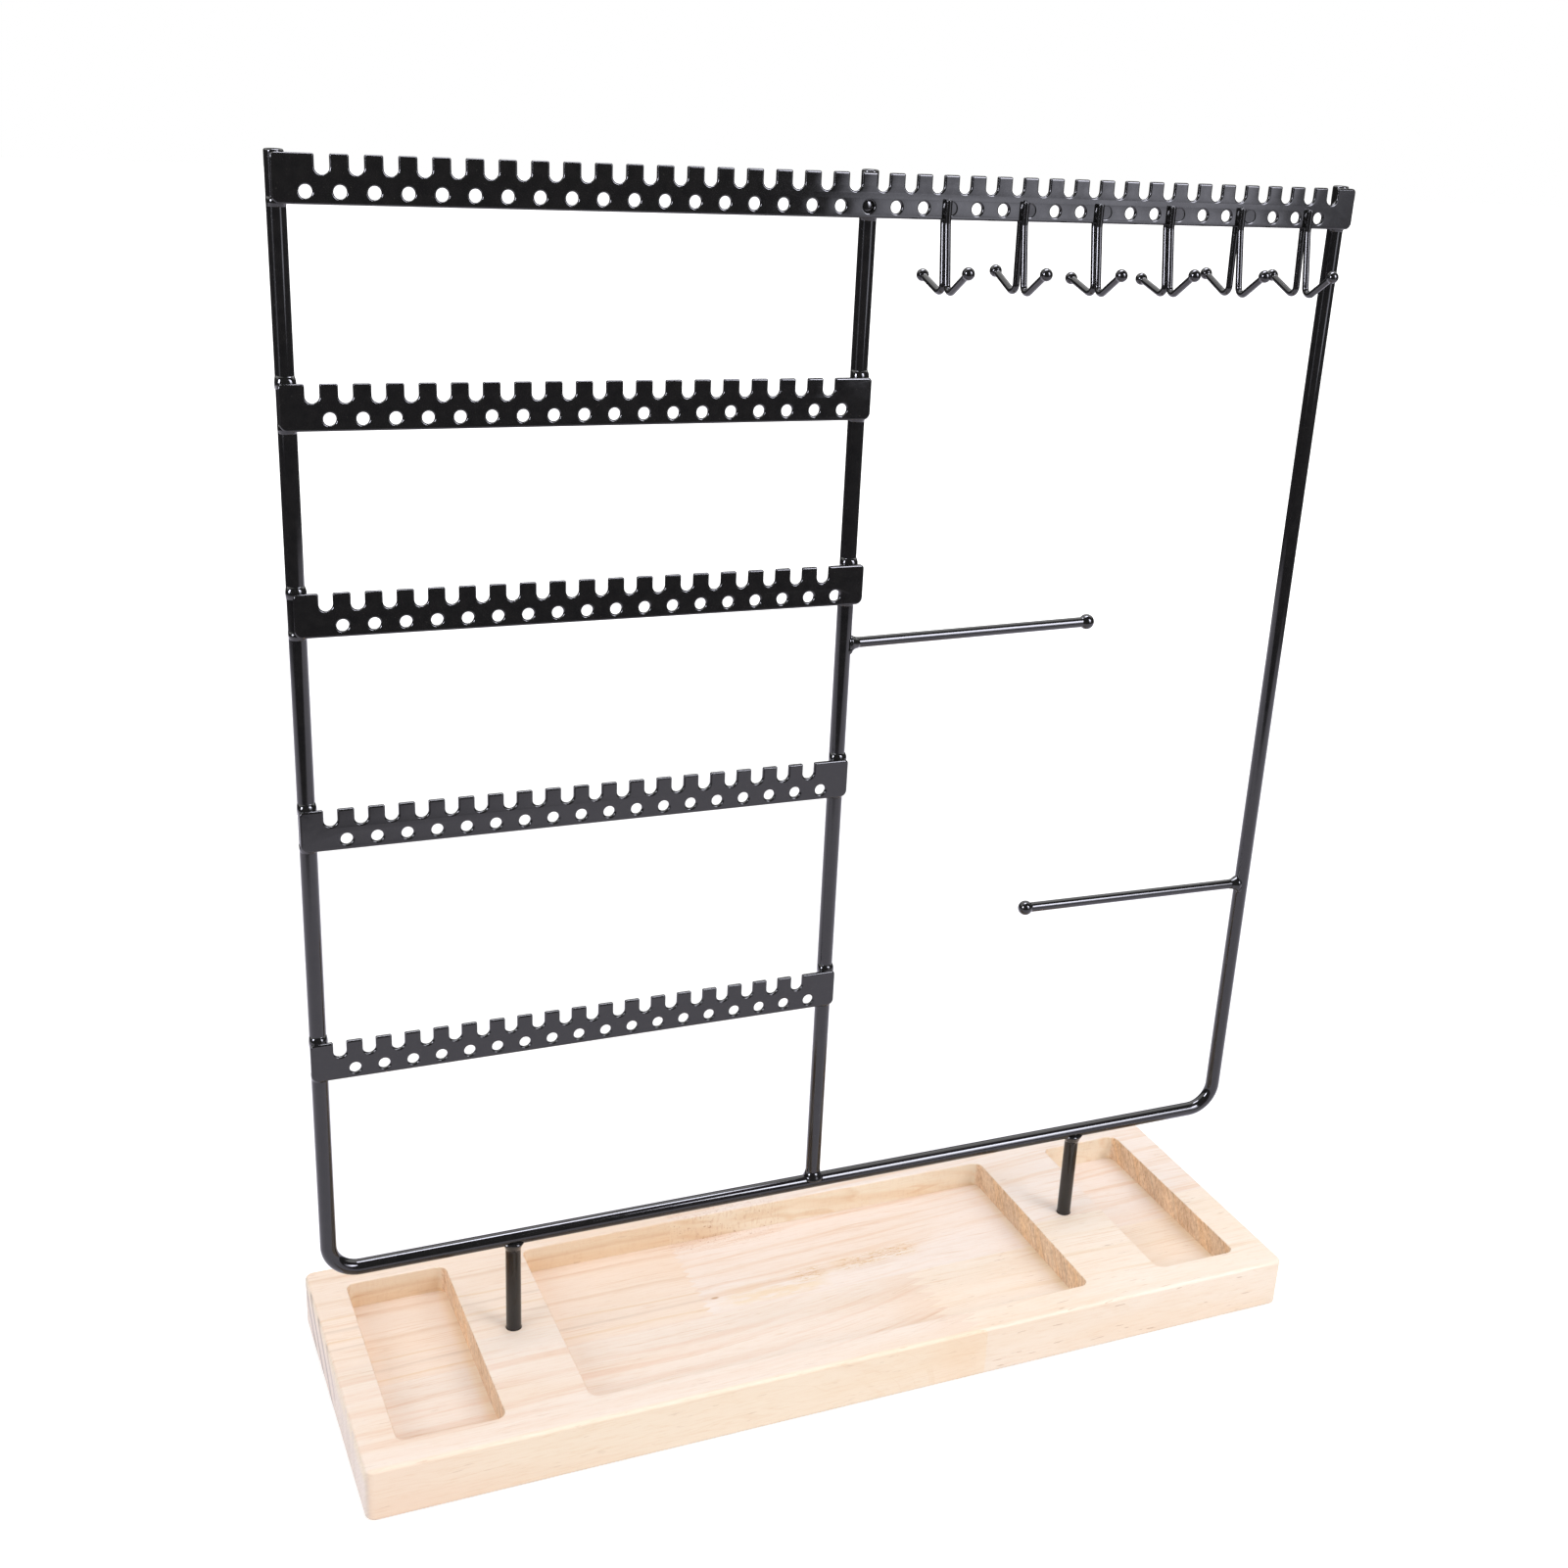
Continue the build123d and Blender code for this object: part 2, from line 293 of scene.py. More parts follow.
def black_coating():
    """Gloss black powder coating, with a fine orange peel and a little dust."""
    coat = Finish("gloss_black_coating")
    cloud = coat.noise((0.35, 0.35, 0.35), 3.0)
    black = coat.ramp(cloud, [(0.3, (0.0070, 0.0068, 0.0072)), (0.7, (0.0110, 0.0104, 0.0106))])
    dust = coat.rise(coat.noise((2.6, 2.6, 2.6), 1.0), 0.755, 0.80)
    colour = coat.mix(dust, black, (0.05, 0.045, 0.04))
    gloss = coat.ramp(coat.noise((0.5, 0.5, 0.5), 3.0), [(0.3, (0.06,) * 3), (0.7, (0.10,) * 3)])
    coat.look(colour, gloss)
    coat.relief(coat.noise((0.16, 0.16, 0.16), 3.0, 0.42), 0.016)
    return coat.owner


def zinc_plate():
    """Bright zinc plating on the post screws and their washers."""
    zinc = Finish("zinc_plate")
    bloom = zinc.noise((0.6, 0.6, 0.6), 4.0)
    colour = zinc.ramp(bloom, [(0.3, (0.50, 0.51, 0.53)), (0.7, (0.69, 0.70, 0.71))])
    gloss = zinc.ramp(zinc.noise((1.2, 1.2, 1.2), 3.0), [(0.3, (0.28,) * 3), (0.7, (0.42,) * 3)])
    zinc.look(colour, gloss, metallic=1.0)
    return zinc.owner


# Tints of late wood, which colour the wood as a stain would
clear = (1.0, 1.0, 1.0)
tan = (0.912, 0.838, 0.760)
amber = (0.915, 0.825, 0.665)
grey = (0.86, 0.82, 0.78)


def band_stops(bands):
    """Stops of a ramp that goes from clear to a shade and back again for each band."""
    stops = [(0.0, clear)]
    for start, middle, end, shade in bands:
        stops += [(start, clear), (middle, shade), (end, clear)]
    return stops


class PineBoard(Finish):
    """Sanded pine, glued up from finger-jointed blocks, with its grain along X.

    Each step stains the colour that the steps before it have left.
    """

    # The board's height, the slant of the rings in the back left block, and the
    # stretch of those rings that the left bands cover
    height = 19.1
    slant = -1.18
    bands_start = -12.0
    bands_length = 80.0

    def __init__(self, name):
        super().__init__(name)
        across, _, up = self.split(self.facing)
        self.flat = self.rise(self.sum("ABSOLUTE", up), 0.35, 0.75)
        self.end_grain = self.rise(self.sum("ABSOLUTE", across), 0.45, 0.85)
        self.inside = self.times(self.between(self.x, -166.0, 166.0, 1.0),
                                 self.between(self.y, -50.0, 50.0, 1.0))
        self.in_tray = self.rise(self.z, 12.0, 9.5)

    def stain(self, tint, amount=1.0):
        """Tints the board's colour, by an amount."""
        self.colour = self.tinted(self.colour, tint, amount)

    def joint(self, width, shift, length, start):
        """The place along X of a zigzag joint, from the width and length of its fingers."""
        finger = self.sum("PINGPONG", self.sum("ADD", self.y, shift), width)
        return self.sum("MULTIPLY_ADD", finger, length, start)

    def lay_blocks(self):
        """The four blocks: a glue line along X, and a zigzag joint across each strip."""
        self.back = self.rise(self.y, -2.7, -2.3)
        before = self.sum("SUBTRACT", self.joint(1.6, 0.0, 1.6, -39.5), self.x)
        self.back_left = self.times(self.back, self.rise(before, -0.15, 0.15))
        past = self.sum("SUBTRACT", self.x, self.joint(2.4, 0.55, 3.1, 38.0))
        self.front_right = self.times(self.rise(past, -0.15, 0.15), self.outside(self.back))

    def lay_rings(self):
        """Growth rings, as a distance in millimetres that is measured at the top face."""
        wander = self.sum("MULTIPLY_ADD", self.noise((0.012, 0.05, 0.05)), 7.0, -3.5)
        self.drop = self.sum("SUBTRACT", self.z, self.height)
        self.ring = self.sum("ADD", self.y, wander)
        left_ring = self.sum("MULTIPLY_ADD", self.drop, self.slant, self.ring)
        self.left_place = self.sum("DIVIDE", self.sum("SUBTRACT", left_ring, self.bands_start),
                                   self.bands_length)
        lift = self.sum("MAXIMUM", self.sum("ADD", self.x, 60.0), 0.0)
        bow = self.times(lift, lift, -0.0015)
        self.front_ring = self.sum("ADD", self.sum("MULTIPLY_ADD", self.drop, -0.30, self.ring), bow)

    def left_bands(self):
        """Late wood of the back left block: brown, yellow and grey bands."""
        bands = []
        for spot, width, tint in ((2.0, 1.1, tan), (8.2, 1.5, grey), (12.7, 1.2, amber),
                                  (18.6, 1.6, grey), (24.2, 0.9, amber), (35.2, 2.2, tan),
                                  (50.5, 2.6, tan), (61.0, 2.2, tan)):
            edges = (spot - width, spot, spot + 0.45 * width)
            places = [(edge - self.bands_start) / self.bands_length for edge in edges]
            bands.append((*places, tint))
        fade = self.rise(self.noise((0.02, 0.12, 0.12)), 0.30, 0.62)
        fade = self.sum("MULTIPLY_ADD", fade, 0.42, 0.62)
        return self.mix(fade, (0.99, 0.97, 0.94), self.ramp(self.left_place, band_stops(bands)))

    def faint_bands(self, distance, seed, low, high, tint):
        """Fainter bands, from noise over the ring distance."""
        spot = (self.times(self.x, 0.006), self.times(distance, 0.23), seed)
        return self.mix(self.rise(self.noise_at(spot, 2.5, 0.6), low, high), clear, tint)

    def by_block(self, front_left, back_right, back_left, front_right):
        """Gives each of the four blocks its own colour."""
        colour = self.mix(self.back, front_left, back_right)
        colour = self.mix(self.back_left, colour, back_left)
        return self.mix(self.front_right, colour, front_right)

    def colour_blocks(self):
        """The colour of each block, then its bands, which are weaker near the front."""
        self.colour = self.by_block((0.873, 0.750, 0.655), (0.876, 0.760, 0.686),
                                    (0.868, 0.716, 0.598), (0.898, 0.777, 0.668))
        plain_ring = self.sum("MULTIPLY_ADD", self.drop, -0.5, self.ring)
        plain_ring = self.sum("MULTIPLY_ADD", self.x, -0.07, plain_ring)
        right_ring = self.sum("MULTIPLY_ADD", self.x, 0.03, self.ring)
        bands = self.by_block(
            self.faint_bands(self.front_ring, 3.7, 0.50, 0.70, (0.950, 0.865, 0.810)),
            self.faint_bands(plain_ring, 6.2, 0.47, 0.64, (0.945, 0.865, 0.785)),
            self.left_bands(),
            self.faint_bands(right_ring, 9.1, 0.53, 0.74, (0.91, 0.83, 0.71)),
        )
        self.calm = self.sum("MULTIPLY_ADD", self.rise(self.y, -50.0, -40.0), 0.65, 0.35)
        self.stain(bands, self.calm)

    def add_fibres(self):
        """Soft clouds and fine fibres along the grain."""
        clouds = self.noise((0.010, 0.045, 0.045), 3.0)
        self.stain((0.975, 0.925, 0.865), self.rise(clouds, 0.45, 0.75))
        self.fibres = self.noise((0.13, 1.5, 1.5), 5.0, 0.72)
        self.stain(self.ramp(self.fibres, [(0.30, (0.945, 0.885, 0.825)),
                                           (0.47, (0.99, 0.98, 0.97)), (0.60, clear)]))

    def ring_lines(self, distance, seed, width):
        """Thin late-wood lines, where the rings meet the surface."""
        spot = (self.times(self.x, 0.0045), self.times(distance, 0.30), seed)
        return self.rise(self.gap(self.noise_at(spot, 3.0, 0.62), 0.5), width, 0.0)

    def add_ring_lines(self):
        """Straight lines at the back and on the right, and bowed ones at the front left."""
        slanted = self.times(self.drop, self.slant)
        slanted = self.sum("MULTIPLY_ADD", self.back_left, slanted, self.ring)
        straight = self.ring_lines(slanted, 1.3, 0.018)
        bowed = self.ring_lines(self.front_ring, 8.2, 0.016)
        straight_side = self.sum("MAXIMUM", self.back, self.front_right)
        lines = self.sum("ADD", self.times(straight, straight_side),
                         self.times(bowed, self.outside(straight_side)))
        patchy = self.rise(self.noise((0.03, 0.2, 0.2)), 0.38, 0.60)
        patchy = self.sum("MULTIPLY_ADD", patchy, 0.70, 0.10)
        self.stain((0.90, 0.80, 0.70), self.times(lines, self.calm, patchy))

    def add_smear(self):
        """A pink smear before the front joint, on the top and the front face."""
        front_left = self.times(self.outside(self.back), self.outside(self.front_right))
        smear = self.times(self.between(self.x, 27.0, 45.0, 7.0), front_left)
        self.stain((0.980, 0.925, 0.880), self.times(smear, 0.6))

    def add_flecks(self):
        """Resin flecks: short thin dashes along the grain, darkest in the front right block."""
        spot = (self.times(self.x, 0.11), self.times(self.ring, 1.35),
                self.sum("MULTIPLY_ADD", self.z, 0.9, 5.0))
        fleck = self.rise(self.noise_at(spot, 2.0, 0.6), 0.665, 0.72)
        share = self.sum("MULTIPLY_ADD", self.front_right, 0.45, 0.35)
        self.stain((0.72, 0.62, 0.55), self.times(fleck, share))

    def tear_grain(self):
        """Torn grain on the floor of the middle tray: a yellow trail with ochre cracks."""
        trail = self.gap(self.sum("MULTIPLY_ADD", self.x, -0.075, self.y), 8.9)
        torn = self.times(self.rise(trail, 7.0, 2.0), self.between(self.x, -31.0, 50.0, 7.0),
                          self.in_tray)
        uneven = self.rise(self.noise((0.07, 0.25, 0.25), 3.0), 0.42, 0.62)
        self.stain((0.985, 0.92, 0.80), self.times(torn, uneven, 0.60))
        crack = self.rise(self.gap(self.noise((0.10, 0.90, 0.90), 4.0, 0.66), 0.50), 0.034, 0.014)
        clumps = self.sum("ADD", self.between(self.x, -1.0, 10.0, 4.0),
                          self.between(self.x, 17.0, 52.0, 4.0))
        self.crack = self.times(crack, torn, self.rise(trail, 4.4, 2.6), clumps)
        self.stain((0.82, 0.65, 0.38), self.crack)

    def mark_and_shade_tray_floors(self):
        """A yellow patch and a small knot beside the torn grain, and painted warm shade on the floor
        beside each right wall.
        """
        patch = self.times(self.between(self.x, -31.0, 8.0, 5.0),
                           self.between(self.y, -0.5, 6.0, 1.8), self.in_tray)
        uneven = self.rise(self.noise((0.12, 0.5, 0.5), 3.0, 0.6), 0.30, 0.60)
        self.stain((0.975, 0.915, 0.765), self.times(patch, uneven))
        knot = self.distance(self.times(self.sum("ADD", self.x, 33.6), 0.6),
                             self.times(self.sum("SUBTRACT", self.y, 6.6), 1.6))
        self.stain((0.68, 0.52, 0.36), self.times(self.rise(knot, 1.25, 0.5), self.in_tray))
        # Painted shade: a warm, darker band on each tray floor beside its right wall stands in for
        # the wall's shadow and the light it bounces.
        shade = 0.0
        for wall in (-124.1, 93.5, 157.5):
            shade = self.sum("ADD", self.between(self.x, wall - 2.5, wall + 1.0, 2.5), shade)
        shade = self.times(shade, self.between(self.y, -50.0, 50.0, 1.0),
                           self.rise(self.z, 10.5, 9.5))
        self.stain((0.965, 0.925, 0.80), shade)

    def roughen_and_shade_walls(self):
        """Tray walls that the router left rough, most of all at one spot of the back wall, with
        painted shade low on the walls.
        """
        routed = self.times(self.inside, self.outside(self.flat))
        # The walls' tint is partly the router's rough surface and partly painted shade and bounce
        # light: yellower, and darker towards the tray floor.
        low_tint = self.mix(self.rise(self.z, 15.5, 11.0), (1.0, 1.02, 0.95), (0.97, 0.92, 0.78))
        self.stain(self.mix(self.back_left, (1.04, 1.06, 0.95), low_tint), routed)
        self.rough_spot = self.times(self.between(self.x, -38.0, 6.0, 5.0),
                                     self.rise(self.y, 33.0, 41.0))
        chatter = self.rise(self.noise((1.1, 1.1, 0.35), 3.0, 0.7), 0.50, 0.68)
        rough = self.sum("MAXIMUM", self.times(routed, 0.18), self.times(self.rough_spot, 0.68))
        self.stain((0.84, 0.73, 0.66), self.times(chatter, rough))
        pit = self.rise(self.noise((0.75, 1.1, 1.1), 1.0), 0.71, 0.76)
        self.stain((0.66, 0.50, 0.40), self.times(pit, self.rough_spot))

    def brown_end_walls(self):
        """The walls across the grain: brown rings, lighter and darker, under loose fuzz."""
        slope = self.sum("MULTIPLY_ADD", self.z, -0.62, self.y)
        spot = (self.times(self.x, 0.013), self.times(slope, 0.17), self.times(self.z, 0.02))
        brown = self.ramp(self.noise_at(spot, 5.0, 0.78), [
            (0.34, (0.52, 0.345, 0.215)), (0.42, (0.72, 0.53, 0.37)), (0.50, (0.81, 0.595, 0.41)),
            (0.545, (0.60, 0.40, 0.25)), (0.58, (0.80, 0.56, 0.35)), (0.70, (0.72, 0.50, 0.30)),
        ])
        self.fuzz = self.noise((0.95, 0.95, 0.55), 5.0, 0.8)
        brown = self.tinted(brown, self.ramp(self.fuzz, [(0.34, (0.76, 0.70, 0.64)), (0.5, clear),
                                                         (0.64, (1.16, 1.24, 1.34))]))
        spot = (self.times(self.x, 0.05), self.times(slope, 0.055), 4.0)
        brown = self.tinted(brown, self.ramp(self.noise_at(spot, 2.0, 0.5), [
            (0.36, (0.92, 0.88, 0.84)), (0.50, (1.03, 1.03, 1.03)), (0.62, (1.13, 1.12, 1.09)),
        ]))
        self.inner_end = self.times(self.inside, self.end_grain)
        self.colour = self.mix(self.inner_end, self.colour, brown)

    def saw_ends(self):
        """The sawn ends of the board: cream with saw marks, and grey rings at the back."""
        rings = self.ramp(self.left_place, band_stops((
            (0.24, 0.30, 0.335, (0.76, 0.72, 0.74)), (0.42, 0.48, 0.52, (0.60, 0.56, 0.58)),
            (0.62, 0.68, 0.72, (0.56, 0.52, 0.54)), (0.80, 0.86, 0.90, (0.60, 0.56, 0.58)),
        )))
        cream = self.mix(self.rise(self.z, 12.0, 17.5), (0.835, 0.725, 0.655), (0.86, 0.735, 0.600))
        cloud = self.rise(self.noise((0.1, 0.16, 0.03)), 0.45, 0.65)
        front = self.mix(cloud, cream, (0.80, 0.69, 0.615))
        sawn = self.mix(self.back, front, self.tinted(cream, rings))
        spot = (0.0, self.times(self.sum("ADD", self.y, self.z), 1.1),
                self.times(self.sum("SUBTRACT", self.z, self.y), 0.10))
        saw_marks = self.rise(self.noise_at(spot, 3.0, 0.7), 0.62, 0.38)
        sawn = self.tinted(sawn, (0.93, 0.92, 0.92), saw_marks)
        outer_end = self.times(self.outside(self.inside), self.end_grain)
        self.colour = self.mix(outer_end, self.colour, sawn)

    def warm_front_edge(self):
        """The front edge of the left block is a deeper cream than the top."""
        edge = self.times(self.rise(self.y, -53.5, -55.3), self.outside(self.front_right))
        cream = self.mix(self.rise(self.x, -110.0, -165.0), (1.03, 1.01, 0.930),
                         (1.03, 0.965, 0.890))
        self.stain(cream, edge)

    def raise_grain(self):
        """Fine grain everywhere, rougher at the rough spot and on the end-grain walls."""
        coarse = self.sum("MAXIMUM", self.inner_end, self.times(self.rough_spot, 0.22))
        grain = self.sum("ADD", self.times(self.fibres, 0.10), self.times(self.fuzz, coarse))
        self.relief(self.sum("SUBTRACT", grain, self.times(self.crack, 0.05)), 0.28)


def pine():
    """The pine of the base board."""
    board = PineBoard("sanded_pine")
    board.lay_blocks()
    board.lay_rings()
    board.colour_blocks()
    board.add_fibres()
    board.add_ring_lines()
    board.add_smear()
    board.add_flecks()
    board.tear_grain()
    board.mark_and_shade_tray_floors()
    board.roughen_and_shade_walls()
    board.brown_end_walls()
    board.saw_ends()
    board.warm_front_edge()
    board.look(board.colour, 0.62, ior=1.45)
    board.raise_grain()
    return board.owner


coating = black_coating()
wood = pine()
zinc = zinc_plate()


# Pieces

def add_object(name, data):
    """Puts a new object into the scene."""
    item = bpy.data.objects.new(name, data)
    bpy.context.scene.collection.objects.link(item)
    return item


def finish_piece(name, shape, replaced=()):
    """Turns a bmesh into a smooth, coated piece of the stand."""
    bmesh.ops.remove_doubles(shape, verts=shape.verts, dist=0.001 * mm)
    bmesh.ops.recalc_face_normals(shape, faces=shape.faces)
    mesh = bpy.data.meshes.new(name)
    shape.to_mesh(mesh)
    shape.free()
    mesh.materials.append(coating)
    for face in mesh.polygons:
        face.use_smooth = True
    piece = add_object(name, mesh)
    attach(piece, "root")
    if replaced:
        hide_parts(*replaced)
    return piece


def keep_flats(piece, angle):
    """Keeps edges steeper than an angle sharp, and flat faces flat."""
    piece.data.set_sharp_from_angle(angle=math.radians(angle))
    weights = piece.modifiers.new("flat_faces", "WEIGHTED_NORMAL")
    weights.keep_sharp = True


def arc(centre_x, centre_z, radius, start, end, count):
    """Points along an arc, from one angle to another, in degrees."""
    points = []
    for step in range(count + 1):
        turn = math.radians(start + (end - start) * step / count)
        points.append((centre_x + radius * math.cos(turn), centre_z + radius * math.sin(turn)))
    return points


def turn_profile(shape, points, steps):
    """Turns a profile of (radius, height) once round the Z axis, as on a lathe."""
    verts = [shape.verts.new((radius, 0, height)) for radius, height in points]
    edges = [shape.edges.new(pair) for pair in zip(verts, verts[1:])]
    bmesh.ops.spin(shape, geom=verts + edges, cent=(0, 0, 0), axis=(0, 0, 1), dvec=(0, 0, 0),
                   angle=2 * math.pi, steps=steps, use_merge=True, use_normal_flip=False,
                   use_duplicate=False)


def bent_rod(name, radius, start, along, steps, replaced, sides=32, end_radius=0.0):
    """A round rod, made as a bender makes it, from runs and bends.

    A step is ("run", length) or ("bend", degrees, radius, side), where side is
    the direction that the rod turns towards.
    """
    shape = bmesh.new()
    across = along.to_track_quat("Z", "Y").to_matrix().to_4x4()
    place = Matrix.Translation(start) @ across
    bmesh.ops.create_circle(shape, segments=sides, radius=radius, matrix=place)
    edges = first_ring = list(shape.edges)
    centre = start.copy()
    along = along.normalized()
    for step in steps:
        if step[0] == "run":
            travel = along * step[1]
            new = bmesh.ops.extrude_edge_only(shape, edges=edges)["geom"]
            verts = [item for item in new if isinstance(item, bmesh.types.BMVert)]
            bmesh.ops.translate(shape, verts=verts, vec=travel)
            moved = set(verts)
            edges = [edge for edge in new if isinstance(edge, bmesh.types.BMEdge)
                     and edge.verts[0] in moved and edge.verts[1] in moved]
            centre = centre + travel
        else:
            angle = math.radians(step[1])
            side = step[3].normalized()
            pivot = centre + side * step[2]
            axis = along.cross(side)
            turn = Matrix.Rotation(angle, 3, axis)
            count = max(2, math.ceil(step[1] / 7.5))
            new = bmesh.ops.spin(shape, geom=edges, cent=pivot, axis=axis, dvec=(0, 0, 0),
                                 angle=angle, steps=count, use_merge=False,
                                 use_normal_flip=False, use_duplicate=False)["geom_last"]
            edges = [edge for edge in new if isinstance(edge, bmesh.types.BMEdge)]
            centre = pivot + turn @ (centre - pivot)
            along = turn @ along
    bmesh.ops.contextual_create(shape, geom=first_ring)
    bmesh.ops.contextual_create(shape, geom=edges)
    if end_radius:
        bmesh.ops.bevel(shape, geom=first_ring + edges, offset=end_radius, affect="EDGES",
                        segments=4, profile=0.5, material=-1)
    keep_flats(finish_piece(name, shape, replaced), 50.0)


def ball_end(name, centre, along, radius, neck_radius, replaced):
    """A ball with a small weld fillet at its neck, turned about the wire."""
    fillet = 0.35 * radius
    reach = math.sqrt((radius + fillet) ** 2 - (neck_radius + fillet) ** 2)
    meeting = math.degrees(math.atan2(neck_radius + fillet, reach))
    profile = [(neck_radius, -reach - 0.2 * fillet)]
    profile += arc(neck_radius + fillet, -reach, fillet, -180, meeting - 270, 6)
    profile += arc(0, 0, radius, meeting - 90, 90, 16)[1:-1]
    profile.append((0, radius))
    shape = bmesh.new()
    turn_profile(shape, profile, 28)
    bmesh.ops.remove_doubles(shape, verts=shape.verts, dist=0.001 * mm)
    rim = [edge for edge in shape.edges if edge.is_boundary]
    bmesh.ops.contextual_create(shape, geom=rim)
    turn = along.to_track_quat("Z", "Y").to_matrix().to_4x4()
    bmesh.ops.transform(shape, matrix=Matrix.Translation(centre) @ turn, verts=shape.verts)
    keep_flats(finish_piece(name, shape, replaced), 60.0)


def rail_outline(left, right, bottom, top, slots):
    """The edge of a rail: two round lower corners, then its teeth from the right."""
    corner = rail_bottom_corner
    outline = arc(left + corner, bottom + corner, corner, 180, 270, 8)
    outline += arc(right - corner, bottom + corner, corner, 270, 360, 8)
    corner = rail_top_corner
    outline += arc(right - corner, top - corner, corner, 0, 90, 6)
    slot_z = top - slot_depth + slot_radius
    edge = slot_radius + tooth_radius
    for x in reversed(slots):
        outline += arc(x + edge, top - tooth_radius, tooth_radius, 90, 180, 4)
        outline += arc(x, slot_z, slot_radius, 360, 180, 12)
        outline += arc(x - edge, top - tooth_radius, tooth_radius, 0, 90, 4)
    return outline + arc(left + corner, top - corner, corner, 90, 180, 6)


def coated_plate(name, loops, thickness):
    """A flat plate with rounded edges, cut by an outline and its holes."""
    curve = bpy.data.curves.new(name, "CURVE")
    curve.dimensions = "2D"
    curve.fill_mode = "BOTH"
    curve.extrude = thickness / 2 - rail_edge_radius
    curve.bevel_depth = rail_edge_radius
    curve.bevel_resolution = 3
    curve.offset = -rail_edge_radius
    for loop in loops:
        spline = curve.splines.new("POLY")
        spline.points.add(len(loop) - 1)
        for point, (x, y) in zip(spline.points, loop):
            point.co = (x, y, 0, 1)
        spline.use_cyclic_u = True
    pattern = add_object(name, curve)
    bpy.context.view_layer.update()
    solid = bpy.data.meshes.new_from_object(pattern)
    bpy.data.objects.remove(pattern)
    shape = bmesh.new()
    shape.from_mesh(solid)
    bpy.data.meshes.remove(solid)
    return shape


def stamped_rail(node, first_hole, last_hole, slot_side):
    """A stamped strip with rounded edges, a row of holes and a row of slots.

    The slots stand half a pitch beside the holes, to the right for a slot side
    of 1 and to the left for -1.
    """
    low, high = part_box(node)
    count = int((high.x - low.x - first_hole - last_hole) / hole_pitch + 0.001) + 1
    holes = [low.x + first_hole + hole_pitch * number for number in range(count)]
    slots = [x + slot_side * hole_pitch / 2 for x in holes]
    loops = [rail_outline(low.x, high.x, low.z, high.z, slots)]
    for x in holes:
        loops.append(arc(x, low.z + hole_above_edge, hole_radius, 0, 345, 23))
    shape = coated_plate(node + "_outline", loops, high.y - low.y)
    stand_up = Matrix.Rotation(math.radians(90), 4, "X")
    middle = Matrix.Translation(Y * (low.y + high.y) / 2)
    bmesh.ops.transform(shape, matrix=middle @ stand_up, verts=shape.verts)
    keep_flats(finish_piece("coated_" + node, shape, [node]), 60.0)


def frame_rods():
    """The hoop, the centre upright and the two posts."""
    side = rod_top - bar_z - bend_radius
    hoop = [("run", side), ("bend", 90, bend_radius, X), ("run", 2 * (upright_x - bend_radius)),
            ("bend", 90, bend_radius, Z), ("run", side)]
    bent_rod("bent_frame_hoop", rod_radius, Vector((-upright_x, frame_y, rod_top)), -Z, hoop,
             ["frame_hoop"], end_radius=rod_end_radius)
    bent_rod("welded_centre_upright", rod_radius, Vector((0, frame_y, bar_z)), Z,
             [("run", rod_top - bar_z)], ["centre_upright"], end_radius=rod_end_radius)
    for name in ("left_post", "right_post"):
        low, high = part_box(name)
        foot = Vector(((low.x + high.x) / 2, frame_y, low.z))
        bent_rod("welded_" + name, rod_radius, foot, Z, [("run", bar_z - low.z)], [name])


def arm_line(name):
    """The two ends of an arm's middle line: on its upright, and in its ball."""
    low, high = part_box(name + "_ball")
    tip = (low + high) / 2
    return Vector((arm_root_x[name], frame_y, tip.z - arm_rise[name])), tip


def bracelet_arms():
    """The two arms with their ball ends."""
    for name in ("upper_arm", "lower_arm"):
        root, tip = arm_line(name)
        run = tip - root
        bent_rod("welded_" + name, arm_radius, root, run, [("run", run.length)], [name])
        ball_end("coated_" + name + "_ball", tip, run.normalized(), arm_ball_radius, arm_radius,
                 [name + "_ball"])


def hook(number, side):
    """One necklace hook: down the rail's face, leaning out, and up to its ball."""
    low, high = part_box("top_rail")
    x = first_hook_x + hook_pitch * number
    if side == "front":
        facing = 1
        lean = math.radians(front_hook_leans[number])
        wire_y = low.y - wire_radius + wire_seat
    else:
        facing = -1
        lean = math.radians(rear_hook_leans[number])
        wire_y = high.y + wire_radius - wire_seat
        x += rear_hook_shift
    down = Vector((0, -math.sin(lean), -math.cos(lean)))
    out = Vector((0, -math.cos(lean), math.sin(lean))) * facing
    top = Vector((x, wire_y, low.z + hole_above_edge + hook_top_above_hole))
    kink = Vector((x, wire_y, low.z - hook_kink_below_rail))
    heel = kink + down * hook_drop
    tip = kink + down * (hook_drop - hook_rise) + out * hook_reach
    free = tip - heel
    bend = math.degrees(down.angle(free))
    cut_kink = hook_kink_radius * math.tan(lean / 2)
    cut_heel = hook_bend_radius * math.tan(math.radians(bend) / 2)
    seat = math.sqrt(hook_ball_radius ** 2 - wire_radius ** 2)
    turn_side = (free - down * free.dot(down)).normalized()
    steps = [
        ("run", (top - kink).length - cut_kink),
        ("bend", math.degrees(lean), hook_kink_radius, -Y),
        ("run", hook_drop - cut_kink - cut_heel),
        ("bend", bend, hook_bend_radius, turn_side),
        ("run", free.length - cut_heel - seat),
    ]
    node = "%s_hook_%d" % (side, number + 1)
    bent_rod("bent_" + node, wire_radius, top, -Z, steps, [node], sides=20,
             end_radius=wire_end_radius)
    ball_end("coated_" + node + "_ball", tip, free.normalized(), hook_ball_radius, wire_radius,
             [node + "_ball"])


